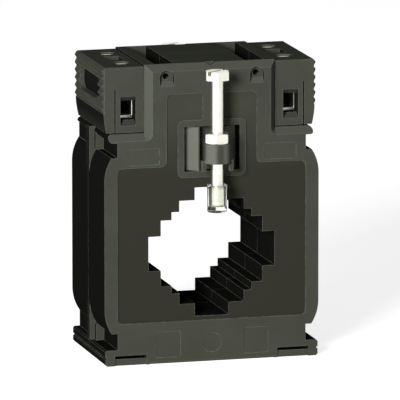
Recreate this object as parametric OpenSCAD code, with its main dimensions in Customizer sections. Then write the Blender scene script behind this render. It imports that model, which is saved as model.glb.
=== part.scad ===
// Window-type current transformer in a moulded two-shell case.
// A stepped window passes straight through the case for a round cable or for flat bars.
// A ring core with its winding lies round the window, two terminals sit on top, and a long
// screw in front and one behind press on the bar and hold the case on it.
// X is the width, Y runs from the front (-Y) to the back (+Y), Z is up.
// The origin is the middle of the underside. All sizes are in millimetres.

/* [Case] */
// Depth from the front face to the rear face
body_d = 41; // [39:0.5:60]
// Wall of the shells
wall = 2; // [1.6:0.1:2.4]
// Floor of the case under the ring
ring_floor = 2.4; // [2:0.1:4]
// Room over the ring for the leads
lead_space = 3.4; // [3:0.1:8]
// How far the foot strip stands back from the sides
foot_in = 0.2; // [0:0.1:1.6]
// Height of the foot strip
foot_h = 5.1; // [4.6:0.1:6]
// Depth of the side notches of the front shell
front_notch = 4.2; // [3:0.1:5]
// Depth of the side notches of the rear shell
rear_notch = 2.4; // [2.2:0.1:3.6]
// Height of the lower side notch
low_notch_h = 5.2; // [4:0.2:7]
// Height of the upper side notch
top_notch_h = 4.7; // [4:0.2:6]
// How far the rounded shoulders draw in
shoulder_in = 2.3; // [1.2:0.1:3]
// Height over which the shoulders draw in
shoulder_h = 7.5; // [5:0.5:10]
// Thickness of the lip under the terminals
lip_h = 2.4; // [1.8:0.1:3]
// How far the lip stands back from the sides
lip_in = 1.6; // [0.4:0.1:2]
// Thickness of the joint flange on each shell
flange_t = 1.7; // [1.2:0.1:3]
// Thickness of the step behind the joint flange, as wide as the lip
step_t = 1.8; // [1:0.1:3]

/* [Window] */
// Wide side of the flat bar
flat_bar_w = 40; // [36:0.5:40.5]
// Thin side of the flat bar
flat_bar_t = 10; // [8:0.5:11]
// Wide side of the middle bar
middle_bar_w = 32; // [30:0.5:33]
// Thin side of the middle bar
middle_bar_t = 20; // [18:0.5:21]
// Side of the square bar
square_bar = 25; // [24:0.5:26]
// Room on each side of a bar
bar_gap = 0.5; // [0.3:0.1:0.8]

/* [Front panel] */
// Depth of the sunk panel on both faces
panel_depth = 0.4; // [0.2:0.1:0.8]
// Margin at each side of the panel
panel_side = 4.2; // [3:0.2:6]
// Height of the panel's lower edge over the foot strip
panel_low = 8.2; // [6:0.2:10]
// Distance of the wide panel's upper edge below the ledge
panel_top = 10.6; // [8:0.2:12]
// Width of the panel's upper part
panel_neck_w = 29.2; // [27:0.2:30]
// Distance of the panel's upper part below the top
panel_neck_top = 9.3; // [8:0.1:11]
// Corner radius of the panel
panel_r = 1.8; // [1:0.1:2.4]
// Width of the raised strip behind the clamp screw
strip_w = 6; // [5:0.2:8]

/* [Middle block] */
// Height of the block over the ledge
block_h = 21.6; // [19.6:0.1:26]
// Depth of the slanted faces round the terminals
slant_d = 2.9; // [2:0.1:4]
// How far the slanted faces draw in
slant_in = 2; // [1:0.1:2.6]
// Width of the centre mark in the upper edge
centre_mark_w = 3.6; // [2:0.2:5]
// Width of each open channel
channel_w = 6.2; // [5:0.1:7]
// Distance of each channel's middle from the middle plane
channel_x = 14.6; // [14:0.1:15]
// Depth of the channels below the top
channel_h = 15; // [8:0.5:17]
// Thickness of the end walls of the channels
channel_end = 3.6; // [3.2:0.1:5]
// Width of the arched sealing recess
seal_w = 4.6; // [4:0.1:5]
// Height of the arched sealing recess
seal_h = 3.6; // [3:0.1:4.2]
// Depth of the arched sealing recess
seal_d = 1.5; // [1:0.1:2]
// Diameter of the sealing wire hole
seal_hole_d = 2; // [1.5:0.1:2.4]
// Distance of the recess's lower edge below the top
seal_drop = 5.3; // [5:0.1:7]

/* [Foot slots] */
// Width of each slot for a plug-in foot
foot_slot_w = 10.2; // [8:0.2:11]
// Distance of each slot's middle from the side of the case
foot_slot_in = 8.4; // [7:0.2:9]
// Height of the slit
foot_slot_h = 1.1; // [0.8:0.1:1.4]
// Height of the slit's lower face over the base
foot_slot_z = 2.1; // [1.6:0.1:2.4]
// Depth of the slit
foot_slot_d = 8; // [5:0.5:9]
// Depth of the shallow pocket round the slit
foot_pocket_d = 0.6; // [0.3:0.1:1]

/* [Labels] */
// Width of the sunk label fields beside the pocket
label_w = 10.4; // [8:0.2:12]
// Height of the sunk label fields beside the pocket
label_h = 5.1; // [4:0.1:6]
// Distance of the label fields from the side of the case
label_in = 7.4; // [6:0.2:8]
// Distance of the label fields below the ledge
label_drop = 4.6; // [4:0.1:5]
// Width of the sunk square fields at the bottom
square_w = 8.2; // [6:0.2:8.6]
// Distance of the square fields from the foot slots
square_gap = 2.9; // [2:0.1:4]
// Height of the square fields' lower edge
square_z = 2; // [1.6:0.1:3]
// Diameter of the sunk round field
disc_d = 6.2; // [5:0.2:7]
// Depth of all sunk fields
label_depth = 0.25; // [0.15:0.05:0.4]

/* [Core and winding] */
// Radial thickness of the core; the case grows with it
core_build = 4.52; // [4:0.02:10]
// Room between the ring and the window wall, and between the ring and the case
ring_gap = 0.4; // [0.3:0.1:0.6]
// Thickness of the winding
winding_t = 1.2; // [0.8:0.1:1.4]
// Thickness of the insulating caps on the core
insulation_t = 0.8; // [0.5:0.1:1]
// Distance of the winding from the outside of the case
ring_inset = 7.6; // [7.2:0.1:9]
// Half angle of the space between the two ends of the winding
winding_open = 10; // [8:1:14]
// Diameter of the lead from the winding to the terminal
lead_d = 1.8; // [1.2:0.1:2]
// Bend radius of the lead
lead_bend = 1.6; // [1.3:0.1:2]
// Room round the lead where it passes the ledge
lead_room = 0.4; // [0.3:0.1:0.6]

/* [Terminals] */
// Distance of the terminals from the side of the case
terminal_in = 8.4; // [8:0.1:8.6]
// Distance of the middle block from the middle of each terminal
terminal_gap = 5.2; // [5:0.1:6]
// Distance of each clamp from the end of its carrier
clamp_in = 5.75; // [5.4:0.05:6.4]
// Drop of the covers below the middle block
cover_drop = 0.5; // [0.2:0.1:1]
// Gap that stays open round the covers
cover_gap = 0.35; // [0.3:0.05:0.5]
// Thickness of the end walls of the covers
cover_end = 2.4; // [2:0.1:2.6]
// Thickness of the outer wall of the covers under the ribs
cover_side = 2.4; // [2.2:0.1:2.6]
// Thickness of the top of the covers
cover_top = 2.3; // [2:0.1:2.6]
// Corner taken off along the outer upper edge of the covers
cover_corner = 1.1; // [0.9:0.1:1.2]
// Bevel along the end edges of the cover tops
cover_bevel = 0.3; // [0.2:0.1:0.5]
// Number of grip ribs
rib_count = 6; // [4:1:6]
// Pitch of the grip ribs
rib_pitch = 2.44; // [2:0.02:2.5]
// Depth of the grip ribs
rib_depth = 0.85; // [0.5:0.05:1]
// Length of the thumb dimple
dimple_l = 24; // [16:0.5:26]
// Height of the thumb dimple
dimple_h = 7.4; // [6:0.2:8]
// Width of the slit beside each snap leg
leg_slit = 0.4; // [0.3:0.05:0.6]
// Distance of the slit from the side of the case
leg_in = 4.4; // [3.8:0.1:4.6]
// Width of a wire entry
entry_w = 4.9; // [4.4:0.1:5]
// Height of a wire entry
entry_h = 6.1; // [5.4:0.1:6.4]
// Height of the middle of a wire entry over the ledge
entry_up = 7.1; // [6.8:0.1:7.4]
// Extra height of the entry's mouth above and below
entry_flare = 1.6; // [1:0.1:1.8]
// Diameter of the screwdriver holes
driver_d = 5.4; // [5.2:0.1:5.8]
// Width of the slot between the screwdriver holes
middle_slot_w = 4.8; // [3:0.1:5]
// Length of the slot between the screwdriver holes
middle_slot_l = 7; // [4:0.1:7.6]

/* [Terminal clamps] */
// Shank diameter of the terminal screw
wire_screw_d = 3.5; // [3:0.1:3.6]
// Thread pitch of the terminal screw
wire_screw_pitch = 0.6; // [0.5:0.05:0.7]
// Head diameter of the terminal screw
wire_head_d = 4.7; // [4.2:0.1:4.7]
// Head height of the terminal screw
wire_head_h = 1.8; // [1.4:0.1:2]
// Thickness of the clamp cage's sheet
cage_t = 1; // [0.8:0.1:1.2]
// Room inside the cage, across the wire
cage_room = 5; // [4.6:0.1:5.2]
// Length of the cage along the wire
cage_l = 6; // [5:0.1:6.4]
// Width of the contact bar
bar_w = 4.4; // [4:0.1:4.6]
// Thickness of the contact bar
bar_t = 1.5; // [1.2:0.1:1.8]
// Room for the wire under the contact bar
wire_room = 5; // [4.6:0.1:5.2]
// Roof of the terminal carrier over the cages
carrier_roof = 1; // [0.8:0.1:1.2]

/* [Bar clamp] */
// Width of the holder's pocket
pocket_w = 18; // [16:0.2:19]
// Height of the holder's pocket
pocket_h = 14.2; // [13:0.2:15]
// Depth of the holder's pocket
pocket_d = 4.4; // [3.6:0.1:4.6]
// Distance of the pocket's lower edge below the ledge
pocket_drop = 12.4; // [11.6:0.1:12.6]
// Width of the raised border round the pocket
pocket_rim = 2; // [1.4:0.1:2.4]
// Width of the holder's front
holder_front_w = 8.8; // [7:0.2:10]
// Distance of the clamp screw's axis from the case
screw_out = 6; // [5.6:0.1:7]
// Thread diameter of the clamp screw
screw_d = 4; // [3:0.5:4]
// Thread pitch of the clamp screw
screw_pitch = 0.7; // [0.5:0.05:0.8]
// Length of the clamp screw under its head
screw_l = 40; // [34:1:46]
// Height of the head over the nut
screw_up = 16.8; // [14:0.2:20]
// Width across the flats of the head and the nut
hex_af = 7; // [6.6:0.1:7.4]
// Height of the screw head
head_h = 2.8; // [2.2:0.1:3.2]
// Slot width in the screw head
slot_w = 1.2; // [0.8:0.1:1.4]
// Slot depth in the screw head
slot_d = 1.3; // [1:0.1:1.6]
// Height of the nut
nut_h = 3.2; // [2.6:0.1:3.6]
// Diameter of the boss under the nut
boss_d = 8.3; // [8:0.1:9]
// Height of the boss
boss_h = 6.2; // [5:0.1:7]
// Height of the boss over the pocket's lower edge
boss_up = 3.6; // [3:0.1:4]
// Diameter of the clear cap on the screw's tip
cap_d = 6.3; // [5.8:0.1:6.6]
// Length of the clear cap
cap_l = 8.4; // [6:0.2:10]
// Thickness of the cap's floor
cap_floor = 1.8; // [1:0.1:2.4]
// How much wider the rim at the cap's mouth is
cap_rim = 0.5; // [0.3:0.1:0.6]
// Height of the rim at the cap's mouth
cap_rim_h = 0.7; // [0.5:0.1:1]
// Width of the two lugs beside the cap
lug_w = 1.8; // [1.4:0.1:2.4]
// Thickness of the two lugs
lug_t = 1.4; // [1:0.1:1.6]
// How far the lugs reach below the boss
lug_drop = 2.7; // [2:0.1:3]
// Radial clearance of every turning or sliding fit
fit = 0.05; // [0.02:0.01:0.08]

/* [Hidden] */
$fn = 48;

black = [0.17, 0.17, 0.155];
dark = [0.12, 0.12, 0.11];
steel = [0.78, 0.78, 0.74];
nickel = [0.72, 0.72, 0.70];
copper = [0.72, 0.42, 0.22];
clear = [0.85, 0.87, 0.85, 0.45];

eps = 0.01;
front_y = -body_d / 2;

// The window is the union of every bar laid flat and stood on edge.
BARS = [[flat_bar_w, flat_bar_t], [middle_bar_w, middle_bar_t], [square_bar, square_bar]];
window_wall = wall * 0.9;
window_grow = bar_gap + window_wall;
window_corner_r = max([for (b = BARS) norm([b[0] / 2 + window_grow, b[1] / 2 + window_grow])]);

// Ring sizes, from the window wall out. The bore is rounded up to a whole fiftieth.
core_shell = winding_t + insulation_t;
ring_r_in = ceil(50 * (window_corner_r + ring_gap)) / 50;
core_r_in = ring_r_in + core_shell;
core_r_out = core_r_in + core_build;
ring_r_out = core_r_out + core_shell;
ring_half_d = body_d / 2 - ring_inset;
core_half_d = ring_half_d - core_shell;

// The case round the ring, from the base up.
side_x = ring_r_out + ring_gap + wall;
foot_w = 2 * (side_x - foot_in);
lip_w = 2 * (side_x - lip_in);
window_z = ring_floor + ring_gap + ring_r_out;
ledge_z = window_z + ring_r_out + ring_gap + lead_space + wall;
body_h = ledge_z + block_h;
low_shoulder_z = foot_h + low_notch_h;
lip_z = ledge_z - lip_h;
top_shoulder_z = lip_z - top_notch_h;
shoulder_r = (shoulder_in * shoulder_in + shoulder_h * shoulder_h) / (2 * shoulder_in);
foot_slot_x = side_x - foot_slot_in;

// Heights and places in the terminals.
cover_x = side_x;
terminal_x = side_x - terminal_in;
block_w = 2 * (terminal_x - terminal_gap);
leg_x = side_x - leg_in;
niche_y = front_y + slant_d;
cover_z = ledge_z + cover_gap;
cover_top_z = body_h - cover_drop;
carrier_top_z = cover_top_z - cover_top;
cover_in_x = block_w / 2 + cover_gap / 2;
cover_end_y = -niche_y;
entry_z = ledge_z + entry_up;
valley_x = cover_x - rib_depth;
leg_in_x = valley_x - cover_side;
carrier_out_x = leg_in_x - cover_gap;
carrier_end_y = cover_end_y - cover_end - cover_gap;
clamp_pitch = 2 * (carrier_end_y - clamp_in);
rib_top_z = cover_top_z - cover_corner;
rib_low_z = rib_top_z - (rib_count - 1) * rib_pitch;
dimple_z = (rib_top_z + rib_low_z) / 2;
dimple_floor_x = valley_x - 1;
bar_z = entry_z + entry_h / 2;
cage_low_z = bar_z - wire_room - cage_t - 0.2;
cage_plate_t = 1.6;
cage_plate_z = bar_z + bar_t + 0.3;
cage_top_z = cage_plate_z + cage_plate_t;
cage_shaft_gap = 0.3;
cage_travel = carrier_top_z - carrier_roof - 0.2 - cage_top_z;

// Heights in the bar clamp.
pocket_z = ledge_z - pocket_drop;
boss_z = pocket_z + boss_up;
nut_z = boss_z + boss_h;
head_z = nut_z + nut_h + screw_up;
tip_z = head_z - screw_l;
cap_z = tip_z - cap_floor;
screw_y = front_y - screw_out;
holder_back_w = pocket_w - 1.6;
nut_collar_d = (screw_d + boss_d) / 2;
nut_collar_h = nut_h * 0.75;

// ---------------------------------------------------------------- helpers

// Square given by its lowest and highest corners.
module span(x0, z0, x1, z1) {
    translate([x0, z0])
        square([x1 - x0, z1 - z0]);
}

// Square given by half its width and its two heights.
module band(half, z0, z1) {
    span(-half, z0, half, z1);
}

// Rectangle with round corners, from its corners.
module round_span(x0, z0, x1, z1, r) {
    span(x0 + r, z0, x1 - r, z1);
    span(x0, z0 + r, x1, z1 - r);
    for (x = [x0 + r, x1 - r], z = [z0 + r, z1 - r])
        translate([x, z])
            circle(r);
}

// Pushes a front-view outline from one depth to another.
module slab(y0, y1) {
    translate([0, y1, 0])
        rotate([90, 0, 0])
            linear_extrude(y1 - y0)
                children();
}

// Pushes a side-view outline, drawn as Y and Z, from one x to another.
module across(x0, x1) {
    translate([x0, 0, 0])
        rotate([90, 0, 90])
            linear_extrude(x1 - x0)
                children();
}

// Pushes a plan-view outline from one height to another.
module rise(z0, z1) {
    translate([0, 0, z0])
        linear_extrude(z1 - z0)
            children();
}

// Children and their mirror images left to right.
module both_sides() {
    children();
    mirror([1, 0, 0])
        children();
}

// Round hole or rod along Z.
module upright(d, z0, z1) {
    translate([0, 0, z0])
        cylinder(d = d, h = z1 - z0);
}

// Hexagon prism along Z with its corners taken off by a shallow cone at both ends.
module hex_prism(af, h, low, high) {
    corner = af / cos(30);
    slope = (corner - af) / 2 * tan(30);
    intersection() {
        cylinder(d = corner, h = h, $fn = 6);
        union() {
            translate([0, 0, low ? slope : 0])
                cylinder(d = corner + 0.1, h = h - (low ? slope : 0) - (high ? slope : 0));
            if (low)
                cylinder(d1 = af, d2 = corner, h = slope);
            if (high)
                translate([0, 0, h - slope])
                    cylinder(d1 = corner, d2 = af, h = slope);
        }
    }
}

// ---------------------------------------------------------------- case outlines

// The bulging body between the two notches, drawn in by the given inset.
module body_outline(inset) {
    half = side_x - inset;
    z0 = low_shoulder_z + inset;
    z1 = top_shoulder_z - inset;
    low = low_shoulder_z + shoulder_h;
    high = top_shoulder_z - shoulder_h;
    r = shoulder_r - inset;
    band(half, low, high);
    band(half + inset - shoulder_r, z0, z1);
    both_sides()
        for (ends = [[low, z0], [high, z1]])
            intersection() {
                translate([side_x - shoulder_r, ends[0]])
                    circle(r, $fn = 96);
                span(side_x - shoulder_r - eps, min(ends), half, max(ends));
            }
}

// The foot strip, with a groove along each edge.
module foot_outline() {
    half = foot_w / 2;
    groove = 0.4;
    difference() {
        band(half, 0, foot_h);
        both_sides() {
            polygon([[half + eps, foot_h * 0.42], [half - groove, foot_h * 0.46],
                     [half - groove, foot_h * 0.54], [half + eps, foot_h * 0.58]]);
            polygon([[half - 0.6, -eps], [half + eps, -eps], [half + eps, 0.6]]);
            polygon([[half - 0.5, foot_h + eps], [half + eps, foot_h + eps],
                     [half + eps, foot_h - 0.5]]);
        }
    }
}

// The lip that carries the terminals, with round edges.
module lip_outline() {
    r = lip_h / 2;
    band(lip_w / 2 - r, lip_z, ledge_z);
    both_sides()
        translate([lip_w / 2 - r, lip_z + r])
            circle(r);
}

// Whole outline of a shell, with side notches of the given depth.
module shell_outline(notch) {
    neck = side_x - notch;
    body_outline(0);
    foot_outline();
    band(neck, foot_h - eps, low_shoulder_z + eps);
    band(neck, top_shoulder_z - eps, lip_z + eps);
    lip_outline();
}

// The stepped window, grown by the given wall.
module window_outline(grow) {
    for (b = BARS, turn = [0, 1]) {
        half_x = b[turn] / 2 + bar_gap + grow;
        half_z = b[1 - turn] / 2 + bar_gap + grow;
        span(-half_x, window_z - half_z, half_x, window_z + half_z);
    }
}

// The ring room inside the shells.
module room_outline() {
    foot_room = foot_slot_x - foot_slot_w / 2 - wall;
    neck = side_x - front_notch - wall;
    difference() {
        union() {
            body_outline(wall);
            band(foot_room, wall, low_shoulder_z);
            band(neck, foot_h + wall, low_shoulder_z + wall + eps);
            band(neck, top_shoulder_z - wall - eps, ledge_z - wall);
        }
        window_outline(window_wall);
    }
}

// The sunk panel: a wide part round the window and a narrow part up to the block.
module panel_outline() {
    half = side_x - panel_side;
    z0 = foot_h + panel_low;
    z1 = ledge_z - panel_top;
    neck = panel_neck_w / 2;
    z2 = body_h - panel_neck_top;
    difference() {
        union() {
            round_span(-half, z0, half, z1, panel_r);
            round_span(-neck, z1 - 4 * panel_r, neck, z2, panel_r);
            both_sides()
                difference() {
                    span(neck - eps, z1 - eps, neck + panel_r, z1 + panel_r);
                    translate([neck + panel_r, z1 + panel_r])
                        circle(panel_r);
                }
        }
        rim = pocket_w / 2 + pocket_rim;
        round_span(-rim, pocket_z - pocket_rim, rim, pocket_z + pocket_h + pocket_rim, panel_r);
        band(strip_w / 2, pocket_z + pocket_h, z2 + 1);
    }
}

// Label fields, square fields and the round field on the faces.
module label_outline() {
    label_out = side_x - label_in;
    label_top = ledge_z - label_drop;
    square_out = foot_slot_x - foot_slot_w / 2 - square_gap;
    both_sides() {
        round_span(label_out - label_w, label_top - label_h, label_out, label_top, 0.5);
        round_span(square_out - square_w, square_z, square_out, square_z + square_w, 0.6);
    }
    translate([0, square_z + square_w / 2])
        circle(d = disc_d);
}

// ---------------------------------------------------------------- case shells

// Slanted cut along the upper edges of the front, y from the front face.
module slant_section() {
    polygon([[front_y - eps, -slant_in - eps], [front_y + slant_d, 0],
             [front_y + slant_d, eps], [front_y - eps, eps]]);
}

// Upper block of one shell, with slanted sides and top, up to the joint plane.
// A cone rounds the inner corner where the slanted side meets the slanted ledge.
module upper_block() {
    half = block_w / 2;
    difference() {
        slab(front_y, 0)
            band(half, top_shoulder_z - wall, body_h);
        translate([0, 0, body_h])
            across(-half - 1, half + 1)
                slant_section();
        both_sides() {
            rise(ledge_z, body_h + 1)
                polygon([[half - slant_in, front_y], [half - slant_in, front_y - 1],
                         [half + 1, front_y - 1], [half + 1, front_y + slant_d],
                         [half, front_y + slant_d]]);
            translate([half, front_y, ledge_z])
                rotate([-90, 0, 0])
                    cylinder(r1 = slant_in, r2 = 0, h = slant_d);
        }
        slab(front_y - 1, front_y + slant_d + centre_mark_w / 4)
            polygon([[-centre_mark_w / 2, body_h + eps], [0, body_h - centre_mark_w / 4],
                     [centre_mark_w / 2, body_h + eps]]);
    }
}

// Lower body of one shell up to the joint plane, with the slanted ledge.
module lower_body(notch) {
    step_y = -flange_t - step_t;
    difference() {
        slab(front_y, 0)
            shell_outline(notch);
        translate([0, 0, ledge_z])
            across(-side_x - 1, side_x + 1)
                slant_section();
    }
    slab(step_y, 0) {
        band(lip_w / 2, foot_h - eps, low_shoulder_z + eps);
        band(lip_w / 2, top_shoulder_z - eps, lip_z + lip_h / 2);
    }
    slab(-flange_t, 0)
        band(side_x, foot_h - eps, ledge_z);
}

// Open channel with the arched sealing recess and its hole, on one side.
module channel_cut() {
    floor_z = body_h - channel_h;
    seal_z = body_h - seal_drop;
    r = seal_w / 2;
    slab(front_y + channel_end, 1)
        span(channel_x - channel_w / 2, floor_z, channel_x + channel_w / 2, body_h + 1);
    slab(front_y - 1, front_y + seal_d) {
        span(channel_x - r, seal_z, channel_x + r, seal_z + seal_h - r);
        intersection() {
            translate([channel_x, seal_z + seal_h - r])
                circle(r);
            span(channel_x - r, seal_z, channel_x + r, seal_z + seal_h);
        }
    }
    slab(front_y - 1, front_y + channel_end + 1)
        translate([channel_x, seal_z + seal_h - 1 - seal_hole_d / 2])
            circle(d = seal_hole_d);
    across(channel_x - r, channel_x + r)
        polygon([[front_y - eps, seal_z - seal_d], [front_y + seal_d, seal_z],
                 [front_y + seal_d, seal_z + eps], [front_y - eps, seal_z + eps]]);
}

// Slit and shallow pocket for a plug-in foot, on one side.
module foot_slot_cut() {
    half = foot_slot_w / 2;
    slab(front_y - 1, front_y + foot_pocket_d)
        span(foot_slot_x - half, -1, foot_slot_x + half, foot_slot_z + foot_slot_h);
    slab(front_y - 1, front_y + foot_slot_d)
        span(foot_slot_x - half, foot_slot_z, foot_slot_x + half, foot_slot_z + foot_slot_h);
}

// Hollow inside of one shell.
module shell_room() {
    upper_half = block_w / 2 - wall;
    core_half = channel_x - channel_w / 2 - wall;
    slab(front_y + wall, eps)
        room_outline();
    slab(front_y + slant_d + wall, eps)
        band(upper_half, ledge_z - wall - eps, body_h - channel_h - wall);
    slab(front_y + slant_d + wall, eps)
        band(core_half, ledge_z - wall - eps, body_h - wall);
}

// Solid parts inside one shell: pocket back, foot slot bodies and ring pads.
module shell_inner() {
    pad_r = (core_r_in + core_r_out) / 2;
    pocket_wall = 1.4;
    slab(front_y + eps, front_y + pocket_d + pocket_wall)
        band(pocket_w / 2 + pocket_wall, pocket_z - pocket_wall, pocket_z + pocket_h + pocket_wall);
    for (a = [45 : 90 : 315])
        translate([pad_r * cos(a), 0, window_z + pad_r * sin(a)])
            slab(front_y + wall - eps, -ring_half_d)
                circle(d = 4);
}

// One shell, front face towards -Y, up to the joint plane.
module half_shell(notch) {
    difference() {
        union() {
            difference() {
                union() {
                    lower_body(notch);
                    upper_block();
                }
                shell_room();
            }
            shell_inner();
        }
        slab(front_y - 1, 1)
            window_outline(0);
        slab(front_y - 1, front_y + pocket_d)
            band(pocket_w / 2, pocket_z, pocket_z + pocket_h);
        slab(front_y - 1, front_y + panel_depth)
            panel_outline();
        slab(front_y - 1, front_y + label_depth)
            label_outline();
        both_sides() {
            channel_cut();
            foot_slot_cut();
            translate([terminal_x, 0, 0])
                upright(lead_d + 2 * lead_room, ledge_z - wall - 1, ledge_z + 1);
        }
        across(-foot_slot_x + foot_slot_w / 2 + 1, foot_slot_x - foot_slot_w / 2 - 1)
            polygon([[front_y - eps, -eps], [front_y + 0.6, -eps], [front_y - eps, 0.6]]);
    }
}

module front_shell() {
    color(black)
        half_shell(front_notch);
}

module rear_shell() {
    color(black)
        mirror([0, 1, 0])
            half_shell(rear_notch);
}

// ---------------------------------------------------------------- core and winding

// Lays a ring turned about Z round the window's axis.
module round_window() {
    translate([0, 0, window_z])
        rotate([90, 0, 0])
            children();
}

module core() {
    color(steel)
        round_window()
            rotate_extrude($fn = 96)
                span(core_r_in, -core_half_d, core_r_out, core_half_d);
}

// Channel-shaped ring that covers the front half of the core.
module core_cap() {
    t = insulation_t;
    round_window()
        rotate_extrude($fn = 96)
            difference() {
                span(core_r_in - t, 0, core_r_out + t, core_half_d + t);
                span(core_r_in, -eps, core_r_out, core_half_d);
            }
}

module core_front_cap() {
    color("ivory")
        core_cap();
}

module core_rear_cap() {
    color("ivory")
        mirror([0, 1, 0])
            core_cap();
}

// Winding round the capped core, open over a small angle at the top.
module winding() {
    t = insulation_t;
    turn = 360 - 2 * winding_open;
    color(copper)
        round_window()
            rotate([0, 0, 90 + winding_open])
                rotate_extrude(angle = turn, $fn = 96)
                    difference() {
                        span(ring_r_in, -ring_half_d, ring_r_out, ring_half_d);
                        span(core_r_in - t, -core_half_d - t, core_r_out + t, core_half_d + t);
                    }
}

// Quarter bend of the lead in the joint plane.
module lead_elbow() {
    rotate([90, 0, 0])
        rotate_extrude(angle = 90)
            translate([lead_bend, 0])
                circle(d = lead_d, $fn = 24);
}

// Lead from the end of the winding to the underside of the contact bar, right side.
module lead() {
    run_z = ledge_z - wall - lead_d / 2 - 0.2;
    start_x = round(10 * (ring_r_out * sin(winding_open) + lead_d)) / 10;
    b = lead_bend;
    difference() {
        union() {
            translate([start_x, 0, 0])
                upright(lead_d, window_z + ring_r_out * 0.9, run_z - b, $fn = 24);
            translate([start_x + b, 0, run_z - b])
                mirror([1, 0, 0])
                    lead_elbow();
            translate([start_x + b, 0, run_z])
                rotate([0, 90, 0])
                    cylinder(d = lead_d, h = terminal_x - start_x - 2 * b, $fn = 24);
            translate([terminal_x - b, 0, run_z + b])
                mirror([0, 0, 1])
                    lead_elbow();
            translate([terminal_x, 0, 0])
                upright(lead_d, run_z + b, bar_z, $fn = 24);
        }
        round_window()
            cylinder(r = ring_r_out, h = body_d, center = true, $fn = 96);
    }
}

module right_lead() {
    color("firebrick")
        lead();
}

module left_lead() {
    color("firebrick")
        mirror([1, 0, 0])
            lead();
}

// ---------------------------------------------------------------- terminals

// Places children at the front clamp and, turned round, at the rear clamp.
module at_clamp(rear) {
    translate([terminal_x, 0, 0])
        mirror([0, rear ? 1 : 0, 0])
            translate([0, -clamp_pitch / 2, 0])
                children();
}

// Insulating carrier that holds the contact bar and guides the cages, right side.
module carrier() {
    shaft_x = cage_room / 2 + cage_t + cage_shaft_gap;
    shaft_y = cage_l / 2 + cage_shaft_gap;
    in_x = block_w / 2;
    difference() {
        slab(-carrier_end_y, carrier_end_y)
            span(in_x, ledge_z, carrier_out_x, carrier_top_z);
        for (rear = [false, true])
            at_clamp(rear) {
                slab(-shaft_y, shaft_y)
                    span(-shaft_x, cage_low_z - 0.3, shaft_x, carrier_top_z - carrier_roof);
                slab(-clamp_pitch, 0)
                    span(-entry_w / 2 - 0.2, entry_z - entry_h / 2 - 0.2,
                         entry_w / 2 + 0.2, bar_z);
                upright(wire_screw_d + 2 * fit, bar_z, carrier_top_z + 1);
            }
        slab(-carrier_end_y - 1, carrier_end_y + 1)
            translate([terminal_x, 0])
                span(-bar_w / 2, bar_z - eps, bar_w / 2, bar_z + bar_t);
        translate([terminal_x, 0, 0])
            upright(lead_d, ledge_z - 1, bar_z + eps, $fn = 24);
    }
}

module right_carrier() {
    color(dark)
        carrier();
}

module left_carrier() {
    color(dark)
        mirror([1, 0, 0])
            carrier();
}

// Contact bar that joins the two clamps, right side.
module contact_bar() {
    slab(-carrier_end_y + 0.4, carrier_end_y - 0.4)
        translate([terminal_x, 0])
            span(-bar_w / 2, bar_z, bar_w / 2, bar_z + bar_t);
}

module right_contact_bar() {
    color("goldenrod")
        contact_bar();
}

module left_contact_bar() {
    color("goldenrod")
        mirror([1, 0, 0])
            contact_bar();
}

// Outline of the cover seen from the front: ribs on the outer side, drawn in below.
module cover_outline() {
    low_x = cover_x - 1.4;
    polygon(concat(
        [[cover_in_x, cover_z], [low_x, cover_z]],
        [for (s = [0.25 : 0.25 : 1])
            [low_x + (valley_x - low_x + 0.3) * sin(90 * s),
             cover_z + (rib_low_z - rib_pitch / 2 - cover_z) * s]],
        [for (i = [rib_count - 1 : -1 : 0], side = [-1 : (i == 0 ? 0 : 1)])
            [side == 0 ? cover_x : valley_x, rib_top_z - i * rib_pitch + side * rib_pitch / 2]],
        [[cover_x - cover_corner, cover_top_z], [cover_in_x, cover_top_z]]
    ));
}

// Wire entry through the end wall, flared above and below.
module entry_cut() {
    half_h = entry_h / 2;
    face_y = -cover_end_y;
    slab(face_y - 1, face_y + cover_end + 1)
        translate([terminal_x, 0])
            span(-entry_w / 2, entry_z - half_h, entry_w / 2, entry_z + half_h);
    across(terminal_x - entry_w / 2, terminal_x + entry_w / 2)
        polygon([[face_y - eps, entry_z - half_h - entry_flare],
                 [face_y + cover_end, entry_z - half_h],
                 [face_y + cover_end, entry_z + half_h],
                 [face_y - eps, entry_z + half_h + entry_flare]]);
}

// Lift-off terminal cover with grip ribs, thumb dimple and snap leg, right side.
module cover() {
    room_y = cover_end_y - cover_end;
    dimple_half = dimple_l / 2;
    r = dimple_h / 2;
    difference() {
        slab(-cover_end_y, cover_end_y)
            cover_outline();
        slab(-room_y, room_y)
            span(cover_in_x - 1, cover_z - 1, leg_in_x, carrier_top_z);
        across(dimple_floor_x, cover_x + 1) {
            span(-dimple_half + r, dimple_z - r, dimple_half - r, dimple_z + r);
            for (y = [-dimple_half + r, dimple_half - r])
                translate([y, dimple_z])
                    circle(r);
        }
        for (rear = [0, 1])
            mirror([0, rear, 0]) {
                entry_cut();
                slab(-cover_end_y - 1, -room_y + 0.5)
                    span(leg_x, cover_z - 1, leg_x + leg_slit, entry_z + entry_up);
                rise(rib_low_z - rib_pitch / 2, cover_top_z + 1)
                    polygon([[valley_x, -cover_end_y - eps],
                             [cover_x + 1, -cover_end_y - eps],
                             [cover_x + 1, -cover_end_y + cover_x + 1 - valley_x]]);
                translate([terminal_x, -clamp_pitch / 2, 0])
                    upright(driver_d, carrier_top_z - 1, cover_top_z + 1);
                across(cover_in_x - 1, cover_x + 1)
                    polygon([[-cover_end_y - eps, cover_top_z - cover_bevel],
                             [-cover_end_y + cover_bevel, cover_top_z + eps],
                             [-cover_end_y - eps, cover_top_z + eps]]);
            }
        translate([terminal_x - middle_slot_w / 2, -middle_slot_l / 2, carrier_top_z - 1])
            cube([middle_slot_w, middle_slot_l, cover_top + 2]);
    }
}

module right_cover() {
    color(black)
        cover();
}

module left_cover() {
    color(black)
        mirror([1, 0, 0])
            cover();
}

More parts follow.
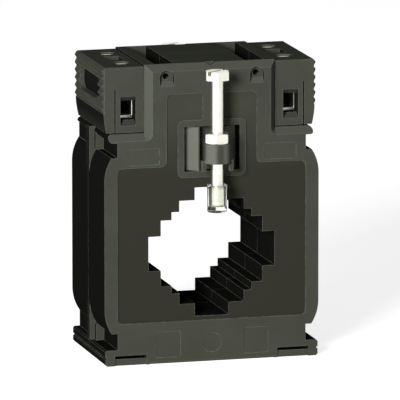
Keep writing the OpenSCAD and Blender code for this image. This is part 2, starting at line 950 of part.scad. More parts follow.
// Clamp cage round the contact bar, with its threaded top plate.
module cage() {
    out_x = cage_room / 2 + cage_t;
    difference() {
        slab(-cage_l / 2, cage_l / 2)
            round_span(-out_x, cage_low_z, out_x, cage_top_z, cage_t * 0.8);
        slab(-cage_l, cage_l)
            span(-cage_room / 2, cage_low_z + cage_t, cage_room / 2, cage_plate_z);
        upright(wire_screw_d + 2 * fit, cage_plate_z - 1, cage_top_z + 1);
    }
}

// Slotted terminal screw whose end presses on the contact bar.
module wire_screw() {
    head_z0 = carrier_top_z;
    foot_z = bar_z + bar_t + fit;
    slot = wire_screw_d * 0.26;
    difference() {
        union() {
            translate([0, 0, foot_z])
                cylinder(d1 = wire_screw_d - 1.2 * wire_screw_pitch, d2 = wire_screw_d,
                         h = 0.6 * wire_screw_pitch);
            upright(wire_screw_d, foot_z + 0.6 * wire_screw_pitch, head_z0);
            upright(wire_head_d, head_z0, head_z0 + wire_head_h - 0.3);
            translate([0, 0, head_z0 + wire_head_h - 0.3])
                cylinder(d1 = wire_head_d, d2 = wire_head_d - 0.6, h = 0.3);
        }
        translate([-wire_head_d, -slot / 2, head_z0 + wire_head_h * 0.45])
            cube([2 * wire_head_d, slot, wire_head_h]);
    }
}

module right_front_cage() {
    color(nickel)
        at_clamp(false)
            cage();
}

module right_rear_cage() {
    color(nickel)
        at_clamp(true)
            cage();
}

module left_front_cage() {
    color(nickel)
        mirror([1, 0, 0])
            at_clamp(false)
                cage();
}

module left_rear_cage() {
    color(nickel)
        mirror([1, 0, 0])
            at_clamp(true)
                cage();
}

module right_front_wire_screw() {
    color(steel)
        at_clamp(false)
            wire_screw();
}

module right_rear_wire_screw() {
    color(steel)
        at_clamp(true)
            wire_screw();
}

module left_front_wire_screw() {
    color(steel)
        mirror([1, 0, 0])
            at_clamp(false)
                wire_screw();
}

module left_rear_wire_screw() {
    color(steel)
        mirror([1, 0, 0])
            at_clamp(true)
                wire_screw();
}

// ---------------------------------------------------------------- bar clamp

// Holder that sits in the pocket and carries the boss, front side.
module holder() {
    floor_y = front_y + pocket_d;
    taper_y = front_y + 2.7;
    back = holder_back_w / 2;
    front = holder_front_w / 2;
    side_gap = 0.15;
    z0 = pocket_z;
    z1 = pocket_z + pocket_h - 2 * side_gap;
    web = boss_d * 0.28;
    lug_in = (cap_d + cap_rim) / 2 + 0.35;
    difference() {
        union() {
            rise(z0, z1)
                difference() {
                    polygon([[-back, floor_y], [-back, taper_y], [-front, front_y],
                             [front, front_y], [back, taper_y], [back, floor_y]]);
                    translate([-front + 0.4, front_y - 1])
                        square([2 * front - 0.8, 1 + pocket_d - 1.2]);
                }
            rise(boss_z, nut_z)
                translate([-web, screw_y])
                    square([2 * web, floor_y - 1 - screw_y]);
            rise(z0 + 1.6, nut_z)
                translate([-web, front_y - 1])
                    square([2 * web, pocket_d]);
            translate([0, screw_y, 0]) {
                upright(boss_d, boss_z, nut_z);
                both_sides()
                    translate([lug_in, -lug_w / 2, boss_z - lug_drop])
                        cube([lug_t, lug_w, lug_drop + 0.8]);
            }
        }
        translate([0, screw_y, 0]) {
            upright(screw_d + 0.6, pocket_z - 1, nut_z - nut_collar_h + eps);
            upright(nut_collar_d, nut_z - nut_collar_h, nut_z + 1);
        }
    }
}

module front_holder() {
    color(black)
        holder();
}

module rear_holder() {
    color(black)
        rotate([0, 0, 180])
            holder();
}

// Hexagon nut with a collar pressed into the boss.
module nut() {
    translate([0, screw_y, 0])
        difference() {
            union() {
                translate([0, 0, nut_z])
                    rotate([0, 0, 12])
                        hex_prism(hex_af, nut_h, true, true);
                upright(nut_collar_d, nut_z - nut_collar_h, nut_z + 1);
            }
            upright(screw_d + 2 * fit, nut_z - nut_h, nut_z + nut_h + 1);
        }
}

module front_nut() {
    color(steel)
        nut();
}

module rear_nut() {
    color(steel)
        rotate([0, 0, 180])
            nut();
}

// Slotted hexagon screw that presses on the bar.
module clamp_screw() {
    chamfer = 0.7 * screw_pitch;
    translate([0, screw_y, 0])
        difference() {
            union() {
                upright(screw_d, tip_z + chamfer, head_z);
                translate([0, 0, tip_z])
                    cylinder(d1 = screw_d - 2 * chamfer, d2 = screw_d, h = chamfer);
                translate([0, 0, head_z])
                    rotate([0, 0, 20])
                        hex_prism(hex_af, head_h, false, true);
            }
            rotate([0, 0, 35])
                translate([-hex_af, -slot_w / 2, head_z + head_h - slot_d])
                    cube([2 * hex_af, slot_w, slot_d + 1]);
        }
}

module front_clamp_screw() {
    color(steel)
        clamp_screw();
}

module rear_clamp_screw() {
    color(steel)
        rotate([0, 0, 180])
            clamp_screw();
}

// Clear insulating cap on the screw's tip, with a small rim at its mouth.
module tip_cap() {
    translate([0, screw_y, 0])
        difference() {
            union() {
                upright(cap_d, cap_z, cap_z + cap_l);
                upright(cap_d + cap_rim, cap_z + cap_l - cap_rim_h, cap_z + cap_l);
            }
            upright(screw_d + 2 * fit, tip_z - fit, cap_z + cap_l + 1);
        }
}

module front_tip_cap() {
    color(clear)
        tip_cap();
}

module rear_tip_cap() {
    color(clear)
        rotate([0, 0, 180])
            tip_cap();
}

front_shell();
rear_shell();
core();
core_front_cap();
core_rear_cap();
winding();
left_lead();
right_lead();
left_carrier();
right_carrier();
left_contact_bar();
right_contact_bar();
left_cover();
right_cover();
left_front_cage();
left_rear_cage();
right_front_cage();
right_rear_cage();
left_front_wire_screw();
left_rear_wire_screw();
right_front_wire_screw();
right_rear_wire_screw();
front_holder();
rear_holder();
front_nut();
rear_nut();
front_clamp_screw();
rear_clamp_screw();
front_tip_cap();
rear_tip_cap();
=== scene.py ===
# %% [markdown]
# # Dressing a window-type current transformer
# The part is a black moulded case with a stepped window. Two terminals sit on top, and a long
# slotted screw in front and one behind press on the bar that passes through the window.
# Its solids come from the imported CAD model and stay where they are. This lesson gives them
# their finishes and rounds their edges. Every piece keeps its CAD solid, so the screws are
# smooth, without threads, and the winding is one smooth body, without turns.
# All lengths are in metres; `MM` turns a length in millimetres into metres.

# %% Load the frame
import math

import bpy
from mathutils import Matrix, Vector

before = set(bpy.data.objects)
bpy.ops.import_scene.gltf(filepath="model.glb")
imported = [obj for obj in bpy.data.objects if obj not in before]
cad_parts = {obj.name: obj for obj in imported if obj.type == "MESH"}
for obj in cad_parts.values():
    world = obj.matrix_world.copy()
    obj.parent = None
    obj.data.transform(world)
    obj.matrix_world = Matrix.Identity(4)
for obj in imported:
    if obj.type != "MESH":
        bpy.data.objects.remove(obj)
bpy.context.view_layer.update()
MM = 0.001
SIDES = ("left", "right")
ENDS = ("front", "rear")

# %% [markdown]
# ## Shared surface effects
# Every moulded plastic here has a fine grain, slow patches where the surface is a little lighter,
# and lighter edges, which are partly rubbed and partly a painted highlight. The clear cap shares
# the grain and the patches. Each effect is a node group, so that every finish can set its own size
# and amount.
# A group gives out only values and masks; the shader itself stays in the material.
# First come three small helpers, because building nodes one by one soon fills a page.


# %% Helpers for node groups
def new_group(name, inputs, outputs):
    """An empty shader node group with float inputs {name: default} and float outputs."""
    group = bpy.data.node_groups.new(name, "ShaderNodeTree")
    for label, value in inputs.items():
        socket = group.interface.new_socket(label, in_out="INPUT", socket_type="NodeSocketFloat")
        socket.default_value = value
    for label in outputs:
        group.interface.new_socket(label, in_out="OUTPUT", socket_type="NodeSocketFloat")
    return group, group.nodes.new("NodeGroupInput"), group.nodes.new("NodeGroupOutput")


def maths(tree, operation, first, second=None, clamp=False):
    """A Math node on two values or sockets; gives back its output socket."""
    node = tree.nodes.new("ShaderNodeMath")
    node.operation = operation
    node.use_clamp = clamp
    for index, value in enumerate((first, second)):
        if value is None:
            continue
        if isinstance(value, (int, float)):
            node.inputs[index].default_value = value
        else:
            tree.links.new(value, node.inputs[index])
    return node.outputs[0]


def spread(tree, value, low, high, to_low, to_high):
    """A Map Range node, clamped, from a socket: low becomes to_low and high becomes to_high."""
    node = tree.nodes.new("ShaderNodeMapRange")
    tree.links.new(value, node.inputs["Value"])
    for label, number in (("From Min", low), ("From Max", high),
                          ("To Min", to_low), ("To Max", to_high)):
        node.inputs[label].default_value = number
    return node.outputs["Result"]


print("helpers for node groups: new_group, maths, spread")

# %% [markdown]
# ### Grain and patches
# A spark-eroded mould prints a fine, even grain on the plastic, and the colour drifts a little
# over a centimetre or so. An image could carry both, but noise in the piece's own coordinates
# keeps one scale on every piece and needs no unwrapping, so two noises are used: fine and broad.

# %% Grain and patches
GRAIN_DETAIL = 3.0
PATCH_DETAIL = 4.0
PATCH_FROM, PATCH_TO = 0.35, 0.65


def noise_of(tree, coordinates, scale, detail):
    """A Noise Texture on some coordinates; scale is a number or a socket."""
    node = tree.nodes.new("ShaderNodeTexNoise")
    node.inputs["Detail"].default_value = detail
    tree.links.new(coordinates, node.inputs["Vector"])
    if isinstance(scale, (int, float)):
        node.inputs["Scale"].default_value = scale
    else:
        tree.links.new(scale, node.inputs["Scale"])
    return node.outputs["Fac"]


def moulded_grain_group():
    """Spark-eroded grain and slow patches, each given its size in millimetres."""
    group, given, out = new_group("moulded_grain", {"Grain mm": 0.12, "Patch mm": 9.0},
                                  ("Height", "Patch"))
    place = group.nodes.new("ShaderNodeTexCoord").outputs["Object"]
    fine = maths(group, "DIVIDE", 1 / MM, given.outputs["Grain mm"])
    broad = maths(group, "DIVIDE", 1 / MM, given.outputs["Patch mm"])
    group.links.new(noise_of(group, place, fine, GRAIN_DETAIL), out.inputs["Height"])
    patch = noise_of(group, place, broad, PATCH_DETAIL)
    group.links.new(spread(group, patch, PATCH_FROM, PATCH_TO, 0.0, 1.0), out.inputs["Patch"])
    return group


moulded_grain = moulded_grain_group()
print("node group", moulded_grain.name, "with", len(moulded_grain.nodes), "nodes")

# %% [markdown]
# ### Edge rub
# Handling rubs the edges of a moulding a little brighter. Here the same lighter edge colour also
# stands in for the highlight that light would catch on the small rounds, so it is partly wear and
# partly a painted highlight. The edges could be painted by hand, but a Bevel node finds them: its
# rounded normal leaves the face's own only near an edge. It finds inner edges as well as outer
# ones, so both are lightened here, which a hand would not do. A noise breaks the lightening up
# along the edge.

# %% Edge rub and highlight
BEVEL_SAMPLES = 4
RUB_AND_HIGHLIGHT_STARTS, RUB_AND_HIGHLIGHT_WHOLE = 0.995, 0.85  # cosine between the rounded normal and the face's own
BREAKS_DETAIL = 3.0
BREAKS_FROM, BREAKS_TO = 0.35, 0.6
LEAST_RUB_AND_HIGHLIGHT = 0.3


# The edge mask carries both the rubbed edges and a painted highlight on them.
def edge_rub_and_highlight_group():
    """Mask of edges, from how far a rounded normal leaves the face's own."""
    group, given, out = new_group("edge_rub_and_highlight", {"Width mm": 0.25, "Breaks mm": 1.5}, ("Rub_and_highlight",))
    bevel = group.nodes.new("ShaderNodeBevel")
    bevel.samples = BEVEL_SAMPLES
    group.links.new(maths(group, "MULTIPLY", given.outputs["Width mm"], MM), bevel.inputs["Radius"])
    shape = group.nodes.new("ShaderNodeNewGeometry")
    dot = group.nodes.new("ShaderNodeVectorMath")
    dot.operation = "DOT_PRODUCT"
    group.links.new(bevel.outputs["Normal"], dot.inputs[0])
    group.links.new(shape.outputs["Normal"], dot.inputs[1])
    edge = spread(group, dot.outputs["Value"], RUB_AND_HIGHLIGHT_STARTS, RUB_AND_HIGHLIGHT_WHOLE, 0.0, 1.0)
    place = group.nodes.new("ShaderNodeTexCoord").outputs["Object"]
    breaks_scale = maths(group, "DIVIDE", 1 / MM, given.outputs["Breaks mm"])
    breaks = noise_of(group, place, breaks_scale, BREAKS_DETAIL)
    kept = spread(group, breaks, BREAKS_FROM, BREAKS_TO, LEAST_RUB_AND_HIGHLIGHT, 1.0)
    group.links.new(maths(group, "MULTIPLY", edge, kept, clamp=True), out.inputs["Rub_and_highlight"])
    return group


edge_rub_and_highlight = edge_rub_and_highlight_group()
print("node group", edge_rub_and_highlight.name, "with", len(edge_rub_and_highlight.nodes), "nodes")

# %% [markdown]
# ## Finishes
# A finish is one Principled shader. Numbers that are the same all over sit on its own sockets,
# and only what changes over the surface comes in through nodes.


# %% Material helpers
def new_finish(name, roughness, metallic=0.0, specular=0.5):
    """A material with one Principled shader; gives back the material, its tree and the shader."""
    material = bpy.data.materials.new(name)
    material.use_nodes = True
    tree = material.node_tree
    shader = tree.nodes["Principled BSDF"]
    shader.inputs["Roughness"].default_value = roughness
    shader.inputs["Metallic"].default_value = metallic
    shader.inputs["Specular IOR Level"].default_value = specular
    return material, tree, shader


def place_group(tree, group, **values):
    """Puts a node group in a material; Grain_mm=0.1 sets its input named "Grain mm"."""
    node = tree.nodes.new("ShaderNodeGroup")
    node.node_tree = group
    for label, value in values.items():
        node.inputs[label.replace("_", " ")].default_value = value
    return node


def blend_colours(tree, mask, low, high):
    """Colour that goes from low to high with a mask; each is a colour or a socket."""
    node = tree.nodes.new("ShaderNodeMix")
    node.data_type = "RGBA"
    tree.links.new(mask, node.inputs["Factor"])
    for label, value in (("A", low), ("B", high)):
        socket = [s for s in node.inputs if s.name == label and s.type == "RGBA"][0]
        if isinstance(value, tuple):
            socket.default_value = (*value, 1.0)
        else:
            tree.links.new(value, socket)
    return [s for s in node.outputs if s.type == "RGBA"][0]


def raise_surface(tree, shader, height, distance):
    """Feeds the shader's normal from a height, distance in metres."""
    bump = tree.nodes.new("ShaderNodeBump")
    bump.inputs["Strength"].default_value = 1.0
    bump.inputs["Distance"].default_value = distance
    tree.links.new(height, bump.inputs["Height"])
    tree.links.new(bump.outputs["Normal"], shader.inputs["Normal"])


print("helpers for finishes: new_finish, place_group, blend_colours, raise_surface")

# %% [markdown]
# ### Black moulded plastic
# The case, the covers and the holders are black plastic from spark-eroded moulds. One colour all
# over would be the simplest finish. Here the colour is set by which way a face points instead, and
# can have three tones: a warm dark grey on faces square to the given axes, near black on the other
# walls as painted shade, and a lighter grey on the slanted faces as a painted highlight. The case
# has all three, the covers have the first two, and the holders the first and the last. The near
# black and the lighter grey stand in for the shade and the light of a lamp at the front left. How
# far the tones lie apart is a choice of look for this light, and not a measured property of the
# plastic.
# The black plastic has no gloss, for the same reason: the studio is white all round, and a
# gloss would mirror it and turn the dark walls grey.

# %% Which way a face points
SQUARE_FROM, SQUARE_TO = 0.12, 0.5  # share of the normal that lies along an axis
SLANT_FROM, SLANT_TO = 0.15, 0.4  # product of two such shares, 0.5 at 45 degrees


# Mask for painted shade: where it is 0, a wall gets the dark colour that stands in for shade.
def face_without_painted_shade(tree, axes_without_painted_shade, top_z=None):
    """1 where a face is square to one of the given axes, 0 on walls that get painted shade.

    Above top_z, faces that look up are kept free of the painted shade too.
    """
    coordinates = tree.nodes.new("ShaderNodeTexCoord")
    normal = tree.nodes.new("ShaderNodeSeparateXYZ")
    tree.links.new(coordinates.outputs["Normal"], normal.inputs[0])
    masks = [spread(tree, maths(tree, "ABSOLUTE", normal.outputs[axis]),
                    SQUARE_FROM, SQUARE_TO, 0.0, 1.0)
             for axis in axes_without_painted_shade]
    mask = masks[0]
    for other in masks[1:]:
        mask = maths(tree, "MAXIMUM", mask, other)
    if top_z is not None:
        place = tree.nodes.new("ShaderNodeSeparateXYZ")
        tree.links.new(coordinates.outputs["Object"], place.inputs[0])
        above = maths(tree, "GREATER_THAN", place.outputs["Z"], top_z)
        up = spread(tree, normal.outputs["Z"], SQUARE_FROM, SQUARE_TO, 0.0, 1.0)
        mask = maths(tree, "MAXIMUM", mask, maths(tree, "MULTIPLY", above, up))
    return mask


# Mask for the painted highlight on slanted faces.
def slanted_face(tree):
    """1 on faces at about 45 degrees between the Y axis and X or Z, 0 on flat ones."""
    normal = tree.nodes.new("ShaderNodeSeparateXYZ")
    tree.links.new(tree.nodes.new("ShaderNodeTexCoord").outputs["Normal"], normal.inputs[0])
    total = 0.0
    for one, other in (("X", "Y"), ("Y", "Z")):
        product = maths(tree, "MULTIPLY", normal.outputs[one], normal.outputs[other])
        total = maths(tree, "ADD", maths(tree, "ABSOLUTE", product), total)
    return spread(tree, total, SLANT_FROM, SLANT_TO, 0.0, 1.0)


print("a face is fully grained up to", round(math.degrees(math.acos(SQUARE_TO))),
      "degrees off its axis, and fully drawn from",
      round(math.degrees(math.acos(SQUARE_FROM))), "degrees")

# %% [markdown]
# ### The sunk panel
# A flat panel is sunk round the window, front and rear, and is a little darker and browner
# than the frame round it, most of all low down. It could be a material slot of its own, but
# its depth along Y already sets it apart, so a Compare node on Y makes the mask.

# %% The sunk panel
PANEL_Y = 20.1 * MM
PANEL_REACH = 0.08 * MM
PANEL_WHOLE_Z, PANEL_FAINT_Z = 60 * MM, 80 * MM
PANEL_LEAST = 0.3


def sunk_panel(tree):
    """1 on the sunk panel, fading to PANEL_LEAST towards its upper part."""
    place = tree.nodes.new("ShaderNodeSeparateXYZ")
    tree.links.new(tree.nodes.new("ShaderNodeTexCoord").outputs["Object"], place.inputs[0])
    sunk = tree.nodes.new("ShaderNodeMath")
    sunk.operation = "COMPARE"
    tree.links.new(maths(tree, "ABSOLUTE", place.outputs["Y"]), sunk.inputs[0])
    sunk.inputs[1].default_value = PANEL_Y
    sunk.inputs[2].default_value = PANEL_REACH
    low = spread(tree, place.outputs["Z"], PANEL_WHOLE_Z, PANEL_FAINT_Z, 1.0, PANEL_LEAST)
    return maths(tree, "MULTIPLY", sunk.outputs[0], low)


print("sunk panel at Y =", round(PANEL_Y / MM, 2), "mm, within", round(PANEL_REACH / MM, 2), "mm")

# %% [markdown]
# ### The plastics
# One function lays the tones over each other in order: patches, panel, the painted highlight on
# slants, the painted shade on walls, and last the lighter edges, which are partly rubbed and partly
# a painted highlight. The terminal carriers are black as well, and the rings round the core are
# pale insulating plastic; both are plain, without the tones by direction.

# %% Moulded plastics
ROUGHNESS_LESS, ROUGHNESS_MORE = 0.04, 0.05


def moulded_plastic(name, colour, patch_colour, rub_and_highlight_colour, roughness, grain_mm, bump_mm,
                    specular=0.0, painted_shade=None, axes_without_painted_shade="Y", top_z=None, panel=None, painted_highlight=None):
    """Grained plastic; the axes given name the faces, square to them, that keep the body colour.

    The walls not square to those axes get painted shade in a colour of its own, the sunk panel gets
    a colour of its own, and slanted faces get a painted highlight in a colour of its own. Without
    these colours, these faces look like the rest.
    """
    material, tree, shader = new_finish(name, roughness, specular=specular)
    grain = place_group(tree, moulded_grain, Grain_mm=grain_mm)
    rub_and_highlight = place_group(tree, edge_rub_and_highlight)
    body = blend_colours(tree, grain.outputs["Patch"], colour, patch_colour)
    if panel:
        body = blend_colours(tree, sunk_panel(tree), body, panel)
    # Slanted faces get a painted highlight.
    if painted_highlight:
        body = blend_colours(tree, slanted_face(tree), body, painted_highlight)
    # Walls not square to the given axes get painted shade.
    if painted_shade:
        body = blend_colours(tree, face_without_painted_shade(tree, axes_without_painted_shade, top_z), painted_shade, body)
    # Edges take the lighter edge colour: partly rubbed wear, partly a painted highlight.
    tree.links.new(blend_colours(tree, rub_and_highlight.outputs["Rub_and_highlight"], body, rub_and_highlight_colour),
                   shader.inputs["Base Color"])
    rough = spread(tree, grain.outputs["Patch"], 0.0, 1.0,
                   roughness - ROUGHNESS_LESS, roughness + ROUGHNESS_MORE)
    tree.links.new(rough, shader.inputs["Roughness"])
    raise_surface(tree, shader, grain.outputs["Height"], bump_mm * MM)
    return material


print("helper for plastics: moulded_plastic")

# %% [markdown]
# ### Black and pale plastics
# The case, the covers and the holders are moulded in the same black plastic, so its colours and
# grain are written once, and only the painted shade and painted highlight by direction differ. The
# tops of the case's upper block look up and are kept free of the painted shade.

# %% Black and pale plastics
# The edge colour of the black plastic is partly rubbed wear and partly a painted highlight.
BLACK_PLASTIC = {"colour": (0.060, 0.064, 0.050), "patch_colour": (0.067, 0.071, 0.056),
                 "rub_and_highlight_colour": (0.22, 0.23, 0.19), "roughness": 0.6,
                 "grain_mm": 0.14, "bump_mm": 0.006}
BLOCK_TOP_Z = 88 * MM

# The case: painted shade on walls not square to Y, except on the block tops, and a painted
# highlight on slanted faces.
case_plastic = moulded_plastic("case_plastic", **BLACK_PLASTIC, axes_without_painted_shade="Y", top_z=BLOCK_TOP_Z,
                               painted_shade=(0.009, 0.009, 0.008), panel=(0.036, 0.036, 0.027),
                               painted_highlight=(0.098, 0.103, 0.084))
# The covers: painted shade on walls not square to Y or Z.
cover_plastic = moulded_plastic("cover_plastic", **BLACK_PLASTIC, axes_without_painted_shade="YZ",
                                painted_shade=(0.012, 0.012, 0.010))
# The holders: a painted highlight on slanted faces.
holder_plastic = moulded_plastic("holder_plastic", **BLACK_PLASTIC, painted_highlight=(0.15, 0.156, 0.13))
carrier_plastic = moulded_plastic("carrier_plastic", colour=(0.006, 0.006, 0.006),
                                  patch_colour=(0.009, 0.009, 0.008),
                                  rub_and_highlight_colour=(0.03, 0.03, 0.027),
                                  roughness=0.5, grain_mm=0.10, bump_mm=0.004)
insulation = moulded_plastic("insulation", colour=(0.66, 0.60, 0.47),
                             patch_colour=(0.72, 0.67, 0.54), rub_and_highlight_colour=(0.80, 0.76, 0.64),
                             roughness=0.45, grain_mm=0.30, bump_mm=0.006, specular=0.4)
print("plastics", [m.name for m in (case_plastic, cover_plastic, holder_plastic,
                                    carrier_plastic, insulation)])

# %% [markdown]
# ### Plated metal
# The screws and nuts are zinc plated: pale, slightly warm, with the marks of turning. The cages
# are nickel plated sheet, a little darker, with the grain of the rolled strip along the sheet.
# The contact bars are brass. Inside the case, the core is magnetic steel and the winding is
# enamelled copper. All are one function: a fine noise that can be pulled out along the marks of
# working, with a slow stain over it.

# %% Metals
GRAIN_NOISE_DETAIL = 4.0
GRAIN_FROM, GRAIN_TO = 0.3, 0.7
SHINIER, DULLER = 0.06, 0.08
STAIN_MM = 3.0
STAIN_DETAIL = 3.0
STAIN_FROM, STAIN_TO, STAIN_MOST = 0.45, 0.7, 0.7


def plated_metal(name, colour, dull_colour, roughness, grain_mm, bump_mm, stretch=(1, 1, 1)):
    """Plated metal; stretch pulls the grain out along the axes where it is small."""
    material, tree, shader = new_finish(name, roughness, metallic=1.0)
    place = tree.nodes.new("ShaderNodeTexCoord").outputs["Object"]
    pulled = tree.nodes.new("ShaderNodeVectorMath")
    pulled.operation = "MULTIPLY"
    pulled.inputs[1].default_value = stretch
    tree.links.new(place, pulled.inputs[0])
    grain = noise_of(tree, pulled.outputs[0], 1 / (grain_mm * MM), GRAIN_NOISE_DETAIL)
    stain = noise_of(tree, place, 1 / (STAIN_MM * MM), STAIN_DETAIL)
    dull = spread(tree, stain, STAIN_FROM, STAIN_TO, 0.0, STAIN_MOST)
    tree.links.new(blend_colours(tree, dull, colour, dull_colour), shader.inputs["Base Color"])
    rough = spread(tree, grain, GRAIN_FROM, GRAIN_TO, roughness - SHINIER, roughness + DULLER)
    tree.links.new(rough, shader.inputs["Roughness"])
    raise_surface(tree, shader, grain, bump_mm * MM)
    return material


screw_steel = plated_metal("screw_steel", colour=(0.84, 0.83, 0.74), dull_colour=(0.70, 0.69, 0.60),
                           roughness=0.30, grain_mm=0.25, bump_mm=0.003, stretch=(1, 1, 3))
cage_nickel = plated_metal("cage_nickel", colour=(0.74, 0.73, 0.67), dull_colour=(0.60, 0.59, 0.54),
                           roughness=0.32, grain_mm=0.15, bump_mm=0.003, stretch=(3, 0.4, 3))
contact_brass = plated_metal("contact_brass", colour=(0.78, 0.66, 0.40),
                             dull_colour=(0.62, 0.50, 0.28), roughness=0.34, grain_mm=0.2,
                             bump_mm=0.003, stretch=(3, 0.3, 3))
core_steel = plated_metal("core_steel", colour=(0.34, 0.35, 0.37), dull_colour=(0.24, 0.24, 0.26),
                          roughness=0.42, grain_mm=0.1, bump_mm=0.004)
winding_wire = plated_metal("winding_wire", colour=(0.62, 0.25, 0.09),
                            dull_colour=(0.46, 0.16, 0.05), roughness=0.28, grain_mm=0.3,
                            bump_mm=0.002)
print("metals", [m.name for m in (screw_steel, cage_nickel, contact_brass, core_steel,
                                  winding_wire)])

# %% [markdown]
# ### Clear cap and sleeve
# The cap on the tip of each clamp screw is clear moulded plastic, so that the screw shows
# through it. Its shader keeps a plain transmission and refraction; only a faint haze changes
# over it. The leads inside the case are in red sleeving, which is one more moulded plastic.

# %% Clear plastic and sleeve
CAP_TINT = (0.93, 0.95, 0.90, 1.0)
CAP_IOR = 1.49
CAP_ROUGHNESS = 0.06
HAZE_LEAST, HAZE_MOST = 0.04, 0.10


def clear_plastic(name, grain_mm, patch_mm, bump_mm):
    """Clear plastic with a haze that drifts over it."""
    material, tree, shader = new_finish(name, CAP_ROUGHNESS)
    shader.inputs["Base Color"].default_value = CAP_TINT
    shader.inputs["Transmission Weight"].default_value = 1.0
    shader.inputs["IOR"].default_value = CAP_IOR
    grain = place_group(tree, moulded_grain, Grain_mm=grain_mm, Patch_mm=patch_mm)
    haze = spread(tree, grain.outputs["Patch"], 0.0, 1.0, HAZE_LEAST, HAZE_MOST)
    tree.links.new(haze, shader.inputs["Roughness"])
    raise_surface(tree, shader, grain.outputs["Height"], bump_mm * MM)
    return material


cap_clear = clear_plastic("cap_clear", grain_mm=0.6, patch_mm=2.5, bump_mm=0.004)
lead_sleeve = moulded_plastic("lead_sleeve", colour=(0.30, 0.035, 0.025),
                              patch_colour=(0.36, 0.05, 0.035), rub_and_highlight_colour=(0.42, 0.09, 0.07),
                              roughness=0.35, grain_mm=0.5, bump_mm=0.01, specular=0.4)
print("clear cap and sleeve", cap_clear.name, lead_sleeve.name)

# %% [markdown]
# ## Rounding and dressing the pieces
# Every piece keeps its CAD solid. A real moulding has no knife edges, so each one gets a small
# round along its edges with a Bevel modifier. The solid arrives as triangles with doubled
# corners, so the corners are welded and flat faces are joined first, or the bevel would have no
# edge to work on. A Weighted Normal modifier then keeps the large faces flat between the small
# rounds.

# %% Rounding the CAD solids
WELD_MM = 0.001
FLAT_ANGLE = math.radians(0.4)
EDGE_ANGLE = math.radians(28)
ROUND_SEGMENTS = 2
FACE_WEIGHT = 90


def dress(node, material, edge_mm):
    """Gives a CAD node its finish and small rounds along its edges."""
    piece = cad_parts[node]
    mesh = piece.data
    if "custom_normal" in mesh.attributes:
        mesh.attributes.remove(mesh.attributes["custom_normal"])
    mesh.shade_smooth()
    mesh.materials.clear()
    mesh.materials.append(material)
    weld = piece.modifiers.new("join_corners", "WELD")
    weld.merge_threshold = WELD_MM * MM
    flat = piece.modifiers.new("join_flats", "DECIMATE")
    flat.decimate_type = "DISSOLVE"
    flat.angle_limit = FLAT_ANGLE
    round_off = piece.modifiers.new("edge_round", "BEVEL")
    round_off.width = edge_mm * MM
    round_off.segments = ROUND_SEGMENTS
    round_off.limit_method = "ANGLE"
    round_off.angle_limit = EDGE_ANGLE
    round_off.miter_outer = "MITER_ARC"
    even = piece.modifiers.new("even_shading", "WEIGHTED_NORMAL")
    even.weight = FACE_WEIGHT


print("helper for pieces: dress")

# %% [markdown]
# ### Which piece gets which finish
# The two shells are the case. Each terminal has a cover, a carrier, a contact bar, a lead, and
# a cage and a wire screw at its front and rear ends. The front and the rear each have a holder,
# a nut, a clamp screw with its tip cap, and one of the two insulating rings over the core.

# %% Dress every piece
for node in ("front_shell", "rear_shell"):
    dress(node, case_plastic, edge_mm=0.2)
for side in SIDES:
    dress(f"{side}_cover", cover_plastic, edge_mm=0.12)
    dress(f"{side}_carrier", carrier_plastic, edge_mm=0.1)
    dress(f"{side}_contact_bar", contact_brass, edge_mm=0.1)
    dress(f"{side}_lead", lead_sleeve, edge_mm=0.05)
    for end in ENDS:
        dress(f"{side}_{end}_cage", cage_nickel, edge_mm=0.12)
        dress(f"{side}_{end}_wire_screw", screw_steel, edge_mm=0.08)
for end in ENDS:
    dress(f"{end}_holder", holder_plastic, edge_mm=0.15)
    dress(f"{end}_nut", screw_steel, edge_mm=0.12)
    dress(f"{end}_clamp_screw", screw_steel, edge_mm=0.1)
    dress(f"{end}_tip_cap", cap_clear, edge_mm=0.12)
    dress(f"core_{end}_cap", insulation, edge_mm=0.2)
dress("core", core_steel, edge_mm=0.1)
dress("winding", winding_wire, edge_mm=0.2)
dressed = [name for name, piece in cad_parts.items() if piece.modifiers]
print("dressed", len(dressed), "of", len(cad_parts), "solids")

# %% [markdown]
# ## Floor
# The part stands on a plain pale floor. More light on a grey floor would whiten it, but would
# lighten the part as well. So the floor gives off a little light of its own that only the
# camera and reflections see: it looks white, and still keeps a soft shadow.

# %% Floor
FLOOR_HALF = 6.0
FLOOR_COLOUR = (0.9, 0.9, 0.89, 1.0)
FLOOR_LIFT = 0.8
WHITE = (1.0, 1.0, 1.0, 1.0)


def seen_directly(tree):
    """1 for camera, glossy and transmission rays."""
    path = tree.nodes.new("ShaderNodeLightPath")
    total = maths(tree, "ADD", path.outputs["Is Camera Ray"], path.outputs["Is Glossy Ray"])
    return maths(tree, "ADD", total, path.outputs["Is Transmission Ray"], clamp=True)


def pale_floor(half):
    """A square floor at height 0, half its side long each way."""
    mesh = bpy.data.meshes.new("floor")
    mesh.from_pydata([(-half, -half, 0), (half, -half, 0), (half, half, 0), (-half, half, 0)], [],
                     [(0, 1, 2, 3)])
    floor = bpy.data.objects.new("floor", mesh)
    bpy.context.scene.collection.objects.link(floor)
    material, tree, shader = new_finish("floor_paper", roughness=0.9, specular=0.1)
    shader.inputs["Base Color"].default_value = FLOOR_COLOUR
    shader.inputs["Emission Color"].default_value = WHITE
    lift = maths(tree, "MULTIPLY", seen_directly(tree), FLOOR_LIFT)
    tree.links.new(lift, shader.inputs["Emission Strength"])
    mesh.materials.append(material)


pale_floor(FLOOR_HALF)
print("floor", 2 * FLOOR_HALF, "m square")

# %% [markdown]
# ## World and lamp
# The world is white where it is seen, and gives only a faint even light. The shaping comes from
# one soft square lamp at the front left. A second lamp would fill the dark walls, so there is
# none.

# %% World and lamp
WORLD_LEVEL = 0.06
KEY_PLACE = (-1.0, -1.35, 0.55)
KEY_AIM = (0.0, 0.0, 0.05)
KEY_SIDES = (0.5, 0.5)
KEY_WATTS = 34.0


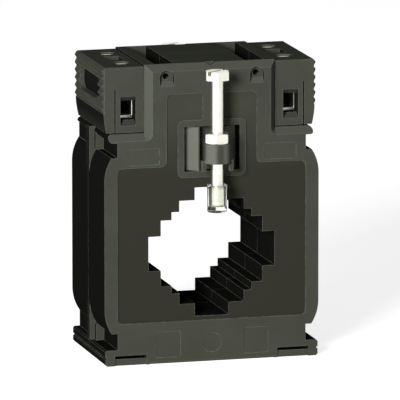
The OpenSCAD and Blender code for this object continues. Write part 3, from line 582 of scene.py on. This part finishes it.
def studio_world(level):
    """A world that looks white and lights the part at the given level."""
    world = bpy.data.worlds.new("studio_world")
    bpy.context.scene.world = world
    world.use_nodes = True
    tree = world.node_tree
    back = tree.nodes["Background"]
    back.inputs["Color"].default_value = WHITE
    strength = spread(tree, seen_directly(tree), 0.0, 1.0, level, 1.0)
    tree.links.new(strength, back.inputs["Strength"])


def soft_lamp(name, place, aim, sides, watts):
    """A rectangular area lamp at place that looks at aim."""
    lamp = bpy.data.lights.new(name, "AREA")
    lamp.shape = "RECTANGLE"
    lamp.size, lamp.size_y = sides
    lamp.energy = watts
    holder = bpy.data.objects.new(name, lamp)
    holder.location = place
    holder.rotation_mode = "QUATERNION"
    holder.rotation_quaternion = (Vector(aim) - Vector(place)).to_track_quat("-Z", "Y")
    bpy.context.scene.collection.objects.link(holder)


studio_world(WORLD_LEVEL)
soft_lamp("key_lamp", KEY_PLACE, KEY_AIM, KEY_SIDES, KEY_WATTS)

# %% [markdown]
# ## Camera
# The camera stands far off with a long lens, so that edges that are parallel on the part stay
# nearly parallel in the view. It is a little to the left of the front, and looks a little down.

# %% Camera
AZIMUTH, ELEVATION = math.radians(15.27), math.radians(10.69)
towards_camera = Vector((-math.sin(AZIMUTH) * math.cos(ELEVATION),
                         -math.cos(AZIMUTH) * math.cos(ELEVATION), math.sin(ELEVATION)))
AIM = Vector((0.0, -6.26 * MM, 48.97 * MM))
DISTANCE, VIEW_WIDTH = 2.5, 126.08 * MM
SENSOR_MM = 36.0
CLIP_NEAR, CLIP_FAR = 0.1, 50.0


def portrait_camera():
    """Makes the camera whose view is VIEW_WIDTH wide at the part."""
    camera = bpy.data.cameras.new("camera")
    camera.sensor_width = SENSOR_MM
    camera.lens = camera.sensor_width * DISTANCE / VIEW_WIDTH
    camera.clip_start, camera.clip_end = CLIP_NEAR, CLIP_FAR
    holder = bpy.data.objects.new("camera", camera)
    holder.location = AIM + DISTANCE * towards_camera
    holder.rotation_mode = "QUATERNION"
    holder.rotation_quaternion = (-towards_camera).to_track_quat("-Z", "Y")
    bpy.context.scene.collection.objects.link(holder)
    bpy.context.scene.camera = holder


portrait_camera()
bpy.context.scene.view_settings.view_transform = "Standard"
print("camera lens in mm", round(bpy.context.scene.camera.data.lens, 1))
